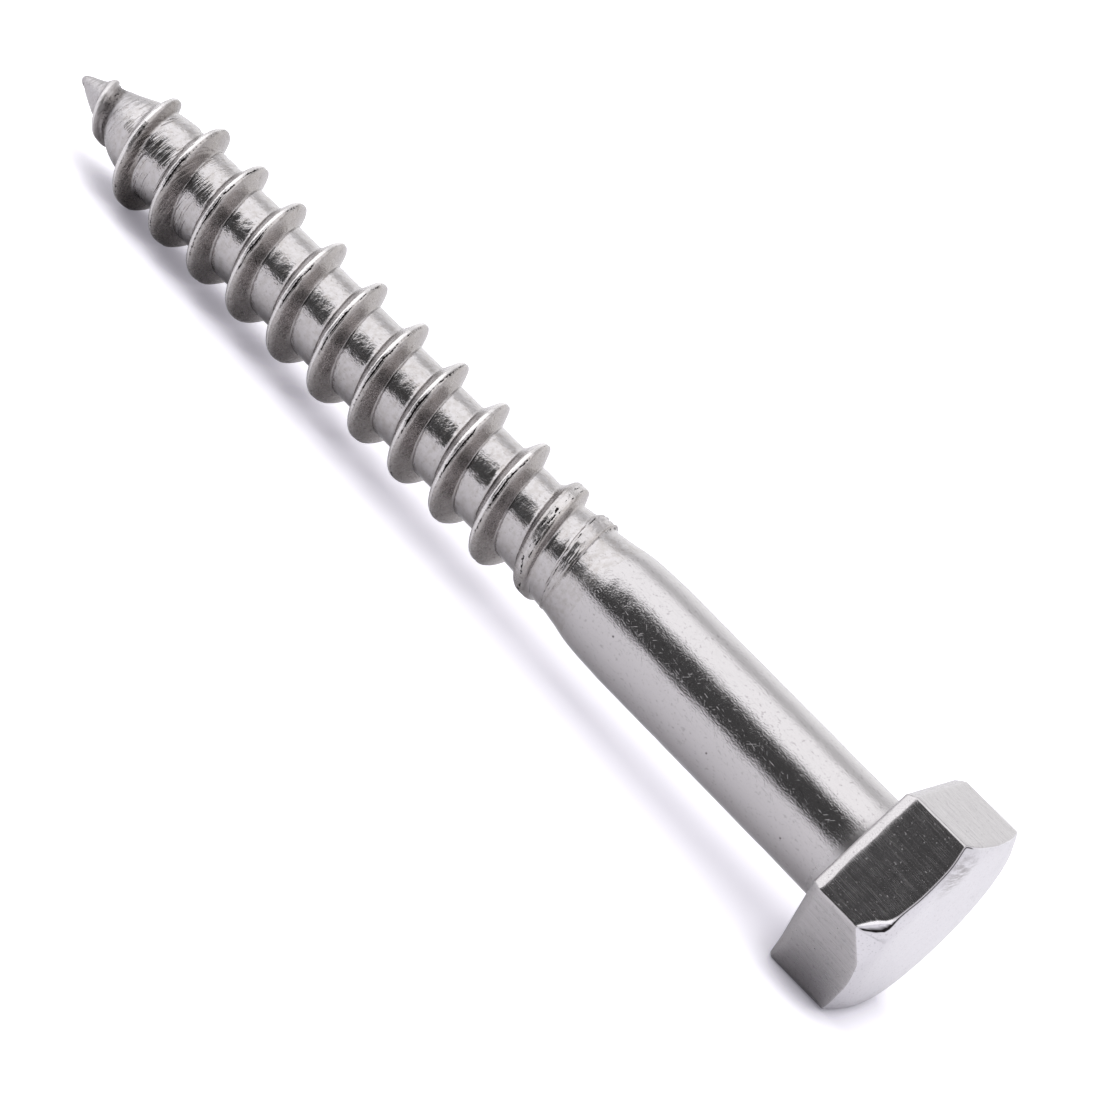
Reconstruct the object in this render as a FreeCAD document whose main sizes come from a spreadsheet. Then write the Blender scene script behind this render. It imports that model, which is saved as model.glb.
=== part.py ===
"""Lag screw: hexagon head, plain shank and coarse wood thread, forged and rolled as one piece of stainless steel.

The screw's own frame has its origin at the centre of the bearing face under the head, +X through the head
and -X towards the point, with two of the head's flats facing +Z and -Z. The finished screw is tilted about
that origin until it lies as it comes to rest on a flat floor: on the rounded edge of the head's lowest flat
and on the first full turn of the thread. Lengths are millimetres, angles are degrees.
"""
import FreeCAD, Part
import os

import Sketcher

Vector = FreeCAD.Vector
NEAR = 0.001

# Driving dimensions: each word is the alias of its cell, and the features below are bound to those cells.
# The thread's place is set from the tip, and the shoulder and run-out from the thread's end, so that a longer
# or shorter screw has more or less plain shank.
SIZES = {
    "Head": {
        "head_across_flats": 13.0,
        "head_height": 5.2,
        "head_end_radius": 5.95,
        "head_chamfer_angle": 30.0,
        "head_crown_radius": 12.0,
        "under_head_rounding": 0.5,
        "side_edge_rounding": 0.25,
        "short_corner_height": 3.55,
        "short_corner_angle": 45.0,
    },
    "Shank": {
        "length_under_head": 69.05,
        "shank_radius": 3.7,
        "neck_rounding": 0.4,
        "shoulder_start": 2.945,
        "shoulder_end": 2.755,
    },
    "Thread": {
        "thread_pitch": 3.6,
        "core_radius": 2.75,
        "crest_radius": 3.92,
        "crest_width": 0.35,
        "flank_angle": 30.0,
        "thread_start": 5.945,
        "thread_turns": 11.0,
        "runout_start": 5.345,
        "runout_low_at": 2.345,
        "runout_radius": 3.35,
    },
    "Point": {
        "tip_radius": 0.25,
        "point_half_angle": 23.9,
        "point_ridge_height": 0.2,
        "low_ridge_until": 3.7,
        "full_thread_at": 7.1,
    },
    "Making": {
        "ridge_root_depth": 0.6,
        "cutter_reach": 2.0,
        "cutter_clearance": 0.1,
    },
}

doc = FreeCAD.newDocument("LagScrew")
sheet = doc.addObject("Spreadsheet::Sheet", "Sizes")
row = 1
for group, sizes in SIZES.items():
    sheet.set(f"A{row}", group)
    row += 1
    for word, value in sizes.items():
        sheet.set(f"A{row}", word)
        sheet.set(f"B{row}", str(value))
        sheet.setAlias(f"B{row}", word)
        row += 1
doc.recompute()

body = doc.addObject("PartDesign::Body", "LagScrew")
body.Label = "lag_screw"


def sized(expression):
    """The value that an expression in the sheet's words has now, as a plain number."""
    value = sheet.evalExpression(expression.replace("Sizes.", ""))
    return float(getattr(value, "Value", value))


def origin_feature(role):
    """The plane or axis of the body's own origin that has this role."""
    return next(item for item in body.Origin.OriginFeatures if item.Role == role)


def outline(name, plane, corners, crown=None):
    """A closed sketch of straight sides on an origin plane, each corner given as a pair of expressions.

    Where a crown radius is given, the last side bulges outwards as an arc of that radius.
    """
    sketch = body.newObject("Sketcher::SketchObject", name)
    sketch.AttachmentSupport = [(origin_feature(plane), "")]
    sketch.MapMode = "FlatFace"
    places = [Vector(sized(along), sized(across), 0) for along, across in corners]
    count = len(corners)
    starts = [1] * count
    for index in range(count - 1):
        sketch.addGeometry(Part.LineSegment(places[index], places[index + 1]), False)
    if crown:
        chord = places[0] - places[-1]
        bulge = sized(crown) - (sized(crown) ** 2 - chord.Length ** 2 / 4) ** 0.5
        middle = (places[0] + places[-1]) / 2 + Vector(-chord.y, chord.x, 0).normalize() * bulge
        sketch.addGeometry(Part.Arc(places[0], middle, places[-1]), False)
        starts[-1] = 2
    else:
        sketch.addGeometry(Part.LineSegment(places[-1], places[0]), False)
    for index in range(count):
        following = (index + 1) % count
        sketch.addConstraint(Sketcher.Constraint("Coincident", index, 3 - starts[index], following, starts[following]))
    if crown:
        constraint = sketch.addConstraint(Sketcher.Constraint("Radius", count - 1, sized(crown)))
        sketch.setExpression(f"Constraints[{constraint}]", crown)
    for index, (along, across) in enumerate(corners):
        place = places[index]
        for kind, expression, value in (("DistanceX", along, place.x), ("DistanceY", across, place.y)):
            constraint = sketch.addConstraint(Sketcher.Constraint(kind, -1, 1, index, starts[index], value))
            sketch.setExpression(f"Constraints[{constraint}]", expression)
    return sketch


def turned(kind, name, corners, crown=None):
    """A full turn of an outline about the screw's axis: a Revolution adds it, a Groove takes it away."""
    profile = outline(f"{name}Outline", "XZ_Plane", corners, crown)
    feature = body.newObject(f"PartDesign::{kind}", name)
    feature.Profile = profile
    feature.ReferenceAxis = (origin_feature("X_Axis"), [""])
    feature.Angle = 360
    doc.recompute()
    return feature


def rounded(name, radius, is_wanted):
    """Rounds each edge of the body so far that the test picks out."""
    base = body.Tip
    edges = [f"Edge{index}" for index, edge in enumerate(base.Shape.Edges, 1) if is_wanted(edge)]
    feature = body.newObject("PartDesign::Fillet", name)
    feature.Base = (base, edges)
    feature.setExpression("Radius", radius)
    doc.recompute()
    return feature


# Blank: the blunt point, the core that carries the thread, the shoulder, the plain shank and the neck's flare
thread_start = "(Sizes.length_under_head - Sizes.thread_start)"
thread_end = f"({thread_start} - Sizes.thread_turns * Sizes.thread_pitch)"
point_slope = "tan(Sizes.point_half_angle)"
shoulder_slope = "(Sizes.shank_radius - Sizes.core_radius) / (Sizes.shoulder_start + Sizes.shoulder_end)"
cone_length = f"(Sizes.core_radius - Sizes.tip_radius) / {point_slope}"
turned("Revolution", "Blank", [
    ("-Sizes.length_under_head", "0"),
    ("-Sizes.length_under_head", "Sizes.tip_radius"),
    (f"-Sizes.length_under_head + {cone_length}", "Sizes.core_radius"),
    (f"-{thread_end} - Sizes.shoulder_start", "Sizes.core_radius"),
    (f"-{thread_end} + Sizes.shoulder_end", "Sizes.shank_radius"),
    ("-Sizes.neck_rounding", "Sizes.shank_radius"),
    ("0", "Sizes.shank_radius + Sizes.neck_rounding"),
    ("Sizes.head_height / 2", "Sizes.shank_radius + Sizes.neck_rounding"),
    ("Sizes.head_height / 2", "0"),
])

# Head: a hexagon with two flats square to Z, so that two of its side edges lie in the plane of Y
half_flats = "Sizes.head_across_flats / 2"
half_corners = "Sizes.head_across_flats / sqrt(3)"
head = body.newObject("PartDesign::Pad", "Head")
head.Profile = outline("HeadSection", "YZ_Plane", [
    (half_corners, "0"),
    (f"{half_corners} / 2", half_flats),
    (f"-{half_corners} / 2", half_flats),
    (f"-{half_corners}", "0"),
    (f"-{half_corners} / 2", f"-{half_flats}"),
    (f"{half_corners} / 2", f"-{half_flats}"),
])
head.setExpression("Length", "Sizes.head_height")
doc.recompute()


def radius_of(edge):
    """How far the start of an edge lies from the screw's axis."""
    start = edge.Vertexes[0].Point
    return Vector(0, start.y, start.z).Length


def is_on_rim(edge):
    """Whether an edge belongs to the hexagon and not to the shank."""
    return radius_of(edge) > sized(half_flats)


def is_side_edge(edge):
    """One of the six edges along the head."""
    places = [vertex.Point.x for vertex in edge.Vertexes]
    return is_on_rim(edge) and max(places) - min(places) > sized("Sizes.head_height") - NEAR


def is_on_bearing_face(edge):
    """Whether an edge lies in the plane of the bearing face."""
    return all(abs(vertex.Point.x) < NEAR for vertex in edge.Vertexes)


rounded("SideEdges", "Sizes.side_edge_rounding", is_side_edge)
rounded("UnderHeadEdge", "Sizes.under_head_rounding", lambda edge: is_on_bearing_face(edge) and is_on_rim(edge))

# The end face's chamfer takes the six corners down to a shallow crown
chamfer_slope = "tan(Sizes.head_chamfer_angle)"
chamfer_reach = f"({half_corners} + Sizes.cutter_reach)"
turned("Groove", "HeadChamfer", [
    ("Sizes.head_height + Sizes.cutter_clearance",
     f"Sizes.head_end_radius - Sizes.cutter_clearance / {chamfer_slope}"),
    ("Sizes.head_height + Sizes.cutter_clearance", chamfer_reach),
    (f"Sizes.head_height - ({chamfer_reach} - Sizes.head_end_radius) * {chamfer_slope}", chamfer_reach),
], "Sizes.head_crown_radius")

# One corner was not filled in the forging die, and ends short at a slant
corner_slope = "tan(Sizes.short_corner_angle)"
above_head = "(Sizes.head_height + Sizes.cutter_reach)"
short_corner = body.newObject("PartDesign::Pocket", "ShortCorner")
short_corner.Profile = outline("ShortCornerOutline", "XY_Plane", [
    (f"Sizes.short_corner_height - Sizes.cutter_reach * {corner_slope}", f"-{chamfer_reach}"),
    (above_head, f"-{chamfer_reach}"),
    (above_head, f"-{half_corners} + ({above_head} - Sizes.short_corner_height) / {corner_slope}"),
])
short_corner.Midplane = True
short_corner.setExpression("Length", "Sizes.head_across_flats * 2")
doc.recompute()


def ridge(name, turns, start, inset, cone_angle):
    """A right-hand ridge with sloping flanks, wound from its start towards the head on a cylinder or a cone."""
    rise = "(Sizes.crest_radius - Sizes.core_radius + Sizes.ridge_root_depth)"
    foot = f"(Sizes.crest_width / 2 + {rise} * tan(Sizes.flank_angle))"
    root = f"Sizes.core_radius - Sizes.ridge_root_depth - {inset}"
    crest = f"Sizes.crest_radius - {inset}"
    profile = outline(f"{name}Section", "XZ_Plane", [
        (f"{start} - {foot}", root),
        (f"{start} - Sizes.crest_width / 2", crest),
        (f"{start} + Sizes.crest_width / 2", crest),
        (f"{start} + {foot}", root),
    ])
    feature = body.newObject("PartDesign::AdditiveHelix", name)
    feature.Profile = profile
    feature.ReferenceAxis = (origin_feature("X_Axis"), [""])
    feature.Mode = "pitch-turns-angle"
    feature.setExpression("Pitch", "Sizes.thread_pitch")
    feature.setExpression("Turns", turns)
    feature.setExpression("Angle", cone_angle)
    doc.recompute()
    return feature


# The thread is one ridge along the core, led up the cone of the point by one turn more
ridge("Thread", "Sizes.thread_turns", f"-{thread_start}", "0", "0")
ridge("PointThread", "1", f"(-{thread_start} - Sizes.thread_pitch)", f"Sizes.thread_pitch * {point_slope}",
      "Sizes.point_half_angle")

# The ridge rises slowly out of the point: a cutter takes away what stands above its crest line there
above_thread = "Sizes.crest_radius + Sizes.cutter_reach"
turned("Groove", "ThreadRise", [
    ("-Sizes.length_under_head", "Sizes.tip_radius + Sizes.point_ridge_height"),
    ("-Sizes.length_under_head + Sizes.low_ridge_until",
     f"Sizes.tip_radius + Sizes.point_ridge_height + Sizes.low_ridge_until * {point_slope}"),
    ("-Sizes.length_under_head + Sizes.full_thread_at", "Sizes.crest_radius + Sizes.cutter_clearance"),
    ("-Sizes.length_under_head + Sizes.full_thread_at", above_thread),
    ("-Sizes.length_under_head", above_thread),
])

# At its other end the ridge is rolled flat and sinks into the shoulder
runout_end = f"-{thread_end} + Sizes.shoulder_end - Sizes.thread_pitch / 2"
turned("Groove", "ThreadRunout", [
    (f"-{thread_end} - Sizes.runout_start", "Sizes.crest_radius + Sizes.cutter_clearance"),
    (f"-{thread_end} - Sizes.runout_low_at", "Sizes.runout_radius"),
    (runout_end, f"Sizes.shank_radius - Sizes.thread_pitch / 2 * {shoulder_slope} + Sizes.cutter_clearance"),
    (runout_end, above_thread),
    (f"-{thread_end} - Sizes.runout_start", above_thread),
])

# Rest: a straight line under the screw touches the rounding of the head's lowest edge and, half a turn
# after the thread starts, the lowest place of its crest
contact_run = f"({thread_start} - Sizes.thread_pitch / 2 + Sizes.crest_width / 2 + Sizes.under_head_rounding)"
contact_drop = f"({half_flats} - Sizes.under_head_rounding - Sizes.crest_radius)"
rest_tilt = (f"atan({contact_drop} / {contact_run})"
             f" + asin(Sizes.under_head_rounding / sqrt({contact_run} ^ 2 + {contact_drop} ^ 2))")
body.Placement = FreeCAD.Placement(Vector(), FreeCAD.Rotation(Vector(0, 1, 0), -sized(rest_tilt)))
body.setExpression("Placement.Rotation.Angle", f"-({rest_tilt})")
doc.recompute()

for item in doc.Objects:
    if "Invalid" in item.State or "Error" in item.State:
        raise RuntimeError(f"{item.Label} did not build: {item.State}")
screw = body.Shape
if screw.isNull() or not screw.isValid() or len(screw.Solids) != 1:
    raise RuntimeError("lag_screw is not one valid solid")

os.makedirs("parts", exist_ok=True)
screw.exportStep(f"parts/{body.Label}.step")
print("rest tilt", round(sized(rest_tilt), 3), "degrees")
print("lag_screw", round(screw.Volume, 1), "cubic mm", screw.optimalBoundingBox(False, False))
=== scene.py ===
# %% [markdown]
# # A stainless lag screw on white paper
# A lag screw is one piece of steel. The head was forged in a die, the shank is the wire it was made from,
# and the thread was rolled up out of that wire, so no edge on it is quite sharp. This notebook loads the
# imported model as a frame, builds the visible screw over it as one closed mesh, gives each worked surface its
# own finish, and lights it as a small studio does: white paper, a big soft lamp above, a dark room in front.

# %% Load the frame
import math
import bpy
import numpy as np
from mathutils import Matrix, Vector


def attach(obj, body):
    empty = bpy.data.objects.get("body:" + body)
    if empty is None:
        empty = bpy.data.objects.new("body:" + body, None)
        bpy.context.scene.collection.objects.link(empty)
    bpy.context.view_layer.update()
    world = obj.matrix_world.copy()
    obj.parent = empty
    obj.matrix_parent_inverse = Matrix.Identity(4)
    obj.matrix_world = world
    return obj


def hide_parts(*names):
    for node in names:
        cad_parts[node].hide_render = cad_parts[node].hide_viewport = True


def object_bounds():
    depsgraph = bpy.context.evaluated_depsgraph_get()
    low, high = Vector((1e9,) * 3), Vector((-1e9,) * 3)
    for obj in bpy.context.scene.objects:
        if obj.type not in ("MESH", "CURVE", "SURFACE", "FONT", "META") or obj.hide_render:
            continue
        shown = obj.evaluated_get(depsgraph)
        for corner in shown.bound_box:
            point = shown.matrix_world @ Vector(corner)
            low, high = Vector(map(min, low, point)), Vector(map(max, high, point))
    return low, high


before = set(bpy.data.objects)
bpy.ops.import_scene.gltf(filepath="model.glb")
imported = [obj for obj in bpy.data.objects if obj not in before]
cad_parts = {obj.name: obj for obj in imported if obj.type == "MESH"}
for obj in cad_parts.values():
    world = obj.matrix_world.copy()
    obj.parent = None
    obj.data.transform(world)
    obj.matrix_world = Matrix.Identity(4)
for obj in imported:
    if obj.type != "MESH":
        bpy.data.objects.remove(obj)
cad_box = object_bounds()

print("nodes", list(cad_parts), "box", [[round(v * 1000, 2) for v in corner] for corner in cad_box])

# %% [markdown]
# ## The sizes
# Everything below is worked out in millimetres in the screw's own frame: its axis is X, the bearing face
# under the head is at 0, and the point is towards -X. Working straight in metres, already tilted, would do
# as well, but then no number could be checked against a rule held to a real screw.

# %% Sizes in millimetres
MM = 0.001
TIP = -69.05
TIP_RADIUS = 0.25
CREST = 3.92
SHANK = 3.70
PITCH = 3.6
CREST_AT = -63.0
print("length under the head", -TIP, "mm, crest diameter", 2 * CREST, "mm")

# %% [markdown]
# ## How the screw rests
# On paper the screw lies on one flat of its head and on its first full turn of thread, so its axis slopes a
# little. Each place is tilted by that slope and scaled to metres at the very end, when the mesh is made.

# %% From the screw's frame to the paper's
REST_TILT = math.radians(-2.384)


def resting(points):
    """Places in the screw's frame, in mm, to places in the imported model's frame, in metres."""
    c, s = math.cos(REST_TILT), math.sin(REST_TILT)
    x, y, z = points[:, 0], points[:, 1], points[:, 2]
    return np.stack([x * c + z * s, y, -x * s + z * c], axis=1) * MM


print("tip rests at", resting(np.array([[TIP, 0.0, 0.0]])) / MM)

# %% [markdown]
# ## Unevenness
# Rolled and forged steel is never quite even. Value noise is the plainest way to say so in code: a random
# number at each point of a lattice, and a smooth blend between them. It is seeded, so each run is the same.

# %% A fixed random number for each lattice point


def lattice_value(i, j, k, seed):
    """A fixed random number from -1 to 1 for each lattice point, mixed from its whole numbers."""
    mixed = (i * 73856093) ^ (j * 19349663) ^ (k * 83492791) ^ (seed * 97531)
    mixed = (mixed ^ (mixed >> 13)) * 1274126177 & 0x7FFFFFFF
    mixed = (mixed ^ (mixed >> 15)) * 668265263 & 0x7FFFFFFF
    return mixed / 0x3FFFFFFF - 1.0


print("one lattice point", round(float(lattice_value(np.int64(3), np.int64(1), np.int64(2), 5)), 4))

# %% Smooth noise between the lattice points


def uneven(x, y, z, seed):
    """Smooth random values from -1 to 1, one lump to each unit of length."""
    x, y, z = np.broadcast_arrays(x, y, z)
    cells = [np.floor(v).astype(np.int64) for v in (x, y, z)]
    parts = [v - c for v, c in zip((x, y, z), cells)]
    ease = [p * p * (3.0 - 2.0 * p) for p in parts]
    total = np.zeros(x.shape)
    for di in (0, 1):
        for dj in (0, 1):
            for dk in (0, 1):
                weight = ((ease[0] if di else 1 - ease[0]) * (ease[1] if dj else 1 - ease[1])
                          * (ease[2] if dk else 1 - ease[2]))
                total += weight * lattice_value(cells[0] + di, cells[1] + dj, cells[2] + dk, seed)
    return total


print("noise sample", round(float(uneven(np.array(1.3), np.array(2.7), np.array(0.4), 5)), 4))

# %% [markdown]
# ## The blank under the thread
# From the tip to the head the screw has one radius for each place along and around it. A curve could be
# turned into a solid for this, but the thread has to be raised from it later, so a plain function is easier:
# straight lines through a few measured places, for a blunt cone, the core, the shoulder and the shank.

# %% Straight lines through measured places


def follow(points, x):
    """Straight lines through (place, value) pairs, read at x."""
    along, values = zip(*points)
    return np.interp(x, along, values)


def gate(value, start, end):
    """0 at the start, 1 at the end, and a straight line between them."""
    return np.clip((value - start) / (end - start), 0.0, 1.0)


POINT = ((TIP, TIP_RADIUS), (-66.9, 1.20), (-66.3, 1.36), (-65.5, 1.63), (-64.75, 1.97), (-64.15, 2.25),
         (-63.4, 2.48), (-62.6, 2.63), (-61.9, 2.74), (-61.2, 2.84), (-60.4, 2.77))
SHOULDER = ((-27.85, 2.77), (-26.75, 2.82), (-24.95, 3.10), (-23.85, 3.15), (-22.75, 3.31), (-22.05, 3.45),
            (-21.25, 3.57), (-20.25, 3.64), (-18.85, SHANK), (0.0, SHANK))
BLANK = POINT + SHOULDER
print("core radius half way", follow(BLANK, -45.0), "mm")

# %% The blank with its unevenness


def blank_radius(x, theta):
    """The blank's radius, uneven by a hundredth of a millimetre as rolled steel is."""
    even = follow(BLANK, x)
    y, z = even * np.cos(theta), even * np.sin(theta)
    broad = 0.010 * uneven(x * 1.4, y * 0.9, z * 0.9, 11)
    fine = 0.008 * uneven(x * 3.5, y * 2.2, z * 2.2, 12)
    return even + broad + fine


print("blank radius half way", blank_radius(np.array([-45.0]), np.array([1.0])))

# %% [markdown]
# ## The bow of the axis
# Long thin screws come out of the rolling dies bent by a few tenths of a millimetre. A bend modifier would do
# it, but a small rise added to each row of points is simpler and leaves the head where it is.

# %% How far the axis bows
BOW = ((-69.0, 0.0), (-61.0, 0.0), (-52.0, 0.13), (-38.0, 0.24), (-30.0, 0.30), (-20.0, 0.32), (-8.0, 0.25),
       (-0.5, 0.2), (0.0, 0.0))
print("axis bows by", max(rise for place, rise in BOW), "mm at most")

# %% [markdown]
# ## The ridge's way along the screw
# The ridge climbs out of the point, keeps its height for nine turns, is rolled flat, and sinks into the
# shoulder. A screw modifier makes only an even thread. Here each turn is told apart by its nominal place,
# where its crest would stand with an even pitch, and three curves say what rolling made of it there.

# %% The ridge's height
CREST_HEIGHT = ((-68.0, 0.3), (-67.1, 1.22), (-66.55, 1.46), (-65.6, 1.86), (-64.75, 2.26), (-62.95, 3.33),
                (-61.15, CREST), (-28.7, CREST), (-27.2, 3.62), (-25.4, 3.38), (-24.25, 3.31), (-23.35, 3.27),
                (-22.45, 3.28), (-21.9, 3.16), (-21.55, 3.10), (-21.0, 2.9))
print("crest stands", round(CREST - follow(BLANK, -45.0), 2), "mm over the core")

# %% Where the ridge leaves its even pitch
WANDER = ((-66.55, -0.375), (-64.75, -0.405), (-62.95, -0.03), (-61.15, 0.03), (-59.35, -0.03),
          (-55.75, -0.09), (-52.15, -0.19), (-48.55, -0.09), (-44.95, 0.0), (-41.35, 0.09), (-37.75, 0.03),
          (-34.15, 0.03), (-30.55, 0.0), (-28.75, 0.0))
BENT_END = ((-26.95, -0.25), (-26.05, -0.14), (-25.15, -0.14), (-24.25, -0.6), (-23.35, -1.37),
            (-22.45, -1.45), (-22.15, -1.75), (-21.55, -2.70))
SHIFT = WANDER + BENT_END
SWAY = 0.19
SWAY_ANGLE = math.radians(90 - 158)
SWAY_STARTS = (-64.5, -62.0)


def crest_shift(nominal):
    """How far the crest stands from its nominal place: a slow wander, and a sway once in each turn."""
    sway = SWAY * np.cos((nominal - CREST_AT) / PITCH * 2 * math.pi + SWAY_ANGLE)
    return follow(SHIFT, nominal) + sway * gate(nominal, *SWAY_STARTS)


print("crest shifted at its end by", round(float(crest_shift(-21.55)), 2), "mm")

# %% The flat that rolling left on the last turn
FLAT_HALF = ((-29.7, 0.0), (-28.0, 0.13), (-27.2, 0.27), (-25.15, 0.20), (-24.25, 0.3), (-23.35, 0.46),
             (-22.45, 0.21), (-22.15, 0.08), (-21.55, 0.02))
FLATTENED = (-28.6, -27.4)
RUN_OUT = (-24.9, -24.0)
print("flat at its widest", 2 * max(half for place, half in FLAT_HALF), "mm")

# %% [markdown]
# ## The ridge's section
# Cut across, the ridge is a rounded hill: steep on the head's side, where the die pushed, and easier on the
# point's side. It is given as how far the surface drops below the crest at each distance from it.

# %% The section and its distances
POINT_SIDE = ((-2.0, 3.6), (-1.00, 1.28), (-0.85, 1.02), (-0.70, 0.76), (-0.55, 0.50), (-0.42, 0.27),
              (-0.32, 0.12), (-0.24, 0.045), (-0.14, 0.008), (0.0, 0.0))
HEAD_SIDE = ((0.09, 0.015), (0.15, 0.05), (0.22, 0.16), (0.31, 0.34), (0.42, 0.57), (0.54, 0.83),
             (0.66, 1.10), (0.78, 1.36), (2.0, 3.6))
SECTION = POINT_SIDE + HEAD_SIDE
CREST_UNEVEN = 0.025
LIP_WIDTH = 0.07


class Turn:
    """One turn of the ridge as each place sees it, the one before it (0) or the one after it (1)."""

    def __init__(self, x, theta, following):
        turns = (x - CREST_AT) / PITCH - (theta - math.pi / 2) / (2 * math.pi)
        self.theta = theta
        # Where this turn's crest would be with an even pitch, and how far the place lies from the real one.
        self.nominal = x - (turns - (np.floor(turns) + following)) * PITCH
        self.offset = x - self.nominal - crest_shift(self.nominal)
        # The way wound round the axis. Noise that reads it closes on itself from turn to turn.
        self.wound = self.nominal * 2 * math.pi / PITCH
        self.rough = uneven(self.offset * 11.0, self.wound * 8.0, 0.0, 25)
        bumps = CREST_UNEVEN * uneven(self.wound * 3.5, 0.0, 0.0, 22)
        self.crest = follow(CREST_HEIGHT, self.nominal) + bumps
        # The last turn: rolled flat, then running out, with a lip on each side of its flat.
        self.late = gate(self.nominal, *FLATTENED)
        self.ending = gate(self.nominal, *RUN_OUT)
        self.flat = follow(FLAT_HALF, self.nominal)
        self.beside = np.sign(self.offset) * np.maximum(np.abs(self.offset) - self.flat, 0.0)
        self.on_flat = self.beside == 0.0
        self.lip = np.exp(-((np.abs(self.offset) - self.flat) / LIP_WIDTH) ** 2)


half_way = Turn(np.array([-45.0]), np.array([1.0]), 0)
print("turn seen from half way: crest at", half_way.nominal, "offset", half_way.offset)

# %% The height of one turn
LIP_RISE = 0.08
LIP_ENDS = (-21.5, -22.3)
TORN_RISE = 0.05
TWIN_SLOPE = 1.5
TWIN_AT = 0.34
TWIN_ENDS = (-65.9, -65.0)


def ridge_height(turn):
    """The radius of one turn's surface: the section, its rolled lips, and the twin crest it starts with."""
    height = turn.crest - follow(SECTION, turn.beside) * (1.0 + 0.9 * turn.ending)
    height = height + LIP_RISE * turn.lip * turn.ending * gate(turn.nominal, *LIP_ENDS)
    height = height + TORN_RISE * turn.rough * turn.late * turn.on_flat
    twin = turn.crest - 0.03 - TWIN_SLOPE * np.abs(turn.offset - TWIN_AT)
    twin = twin - 0.5 * gate(turn.nominal, *TWIN_ENDS)
    return np.where(turn.nominal < TWIN_ENDS[1], np.maximum(height, twin), height)


print("height of that turn here", ridge_height(half_way))

# %% [markdown]
# ## Seams, laps and torn places
# Where two sides of metal met over the ridge they left a black seam. The last turn was torn as it was rolled
# flat, and where the ridge folded on to the core there is a lap. A painted picture could show them, but they
# have depth and the light finds it, so they are cut into the shape and kept as marks for the colour. The
# colour also darkens the lap, and the hollow behind the first lip, as painted shade.

# %% Gaps in the crest
SEAM_STARTS = (-63.6, -61.0)
SEAM_OPEN_AT = math.radians(156)
SEAM_OPEN_OVER = math.radians(26)
SEAM_HALF = 0.085
LIP_CRACK_AT = 0.09
LIP_CRACK_HALF = 0.06


def crest_gap(turn):
    """From 0 to 1: the seam in the crest, the torn last turn, and the cracks beside its lips."""
    wander = 0.02 + 0.05 * uneven(turn.wound * 5.0, 0.0, 0.0, 21)
    width = SEAM_HALF + 0.035 * uneven(turn.wound * 9.0, 0.0, 0.0, 24)
    open_seam = np.exp(-((turn.theta - SEAM_OPEN_AT) / SEAM_OPEN_OVER) ** 2)
    strength = 0.25 + 0.75 * open_seam + 0.35 * uneven(turn.wound * 5.0, 0.0, 0.0, 23)
    seam = np.clip(1.15 - np.abs(turn.offset - wander) / width, 0.0, 1.0) * np.clip(strength, 0.0, 1.0)
    seam = seam * gate(turn.nominal, *SEAM_STARTS) * (1.0 - turn.late)
    from_lip = np.abs(np.abs(turn.offset) - turn.flat - LIP_CRACK_AT)
    edges = np.clip(1.1 - from_lip / LIP_CRACK_HALF, 0.0, 1.0) * turn.ending * (turn.nominal < -21.3)
    torn = np.clip(turn.rough * 1.6 - 0.3, 0.0, 1.0) * turn.late * (1.0 - turn.ending) * turn.on_flat
    return np.maximum(np.maximum(seam, torn * 0.8), edges * np.clip(0.5 + turn.rough, 0.2, 1.0))


print("gap there", crest_gap(half_way))

# %% Marks beside the ridge
FOLD_AT = 0.74
LAP_HALF = 0.06
GROOVES_AT = (-1.22, 1.32)
GROOVE_HALF = 0.2
GROOVES_END = (-56.5, -54.0)
HOLLOW_NEAR = (0.14, 0.40)
HOLLOW_FAR = (1.15, 0.80)
HOLLOW_ENDS = (-64.5, -65.1)


def foot_marks(turn, core):
    """From 0 to 1: the lap at the ridge's foot, grooves beside the first turns, the hollow behind the lip."""
    foot = FOLD_AT * np.clip((turn.crest - core) / 1.17, 0.4, 1.1) + turn.flat
    lap = np.clip(1.0 - np.abs(turn.offset - foot) / LAP_HALF, 0.0, 1.0) * gate(turn.crest - core, 0.3, 0.6)
    grooves = sum(np.clip(1.0 - np.abs(turn.offset - at) / GROOVE_HALF, 0.0, 1.0) for at in GROOVES_AT)
    grooves = grooves * gate(turn.nominal, *SEAM_STARTS) * (1.0 - gate(turn.nominal, *GROOVES_END))
    hollow = gate(turn.offset, *HOLLOW_NEAR) * gate(turn.offset, *HOLLOW_FAR)
    hollow = hollow * gate(turn.nominal, *HOLLOW_ENDS)
    return lap, grooves, hollow


print("lap, grooves and hollow there", foot_marks(half_way, 2.77))

# %% [markdown]
# ## The whole surface
# A place between two crests belongs a little to both turns, so the blank is joined with the turn before it
# and with the turn after it. Taking the higher of two surfaces would leave a sharp line. A joint of six
# hundredths of a millimetre rounds it, as the die did.

# %% Blank and ridge joined
WELD = 0.06
GAP_DEPTH = 0.12
LAP_DEPTH = 0.03
GROOVE_DEPTH = 0.07
HOLLOW_DEPTH = 0.06


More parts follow.
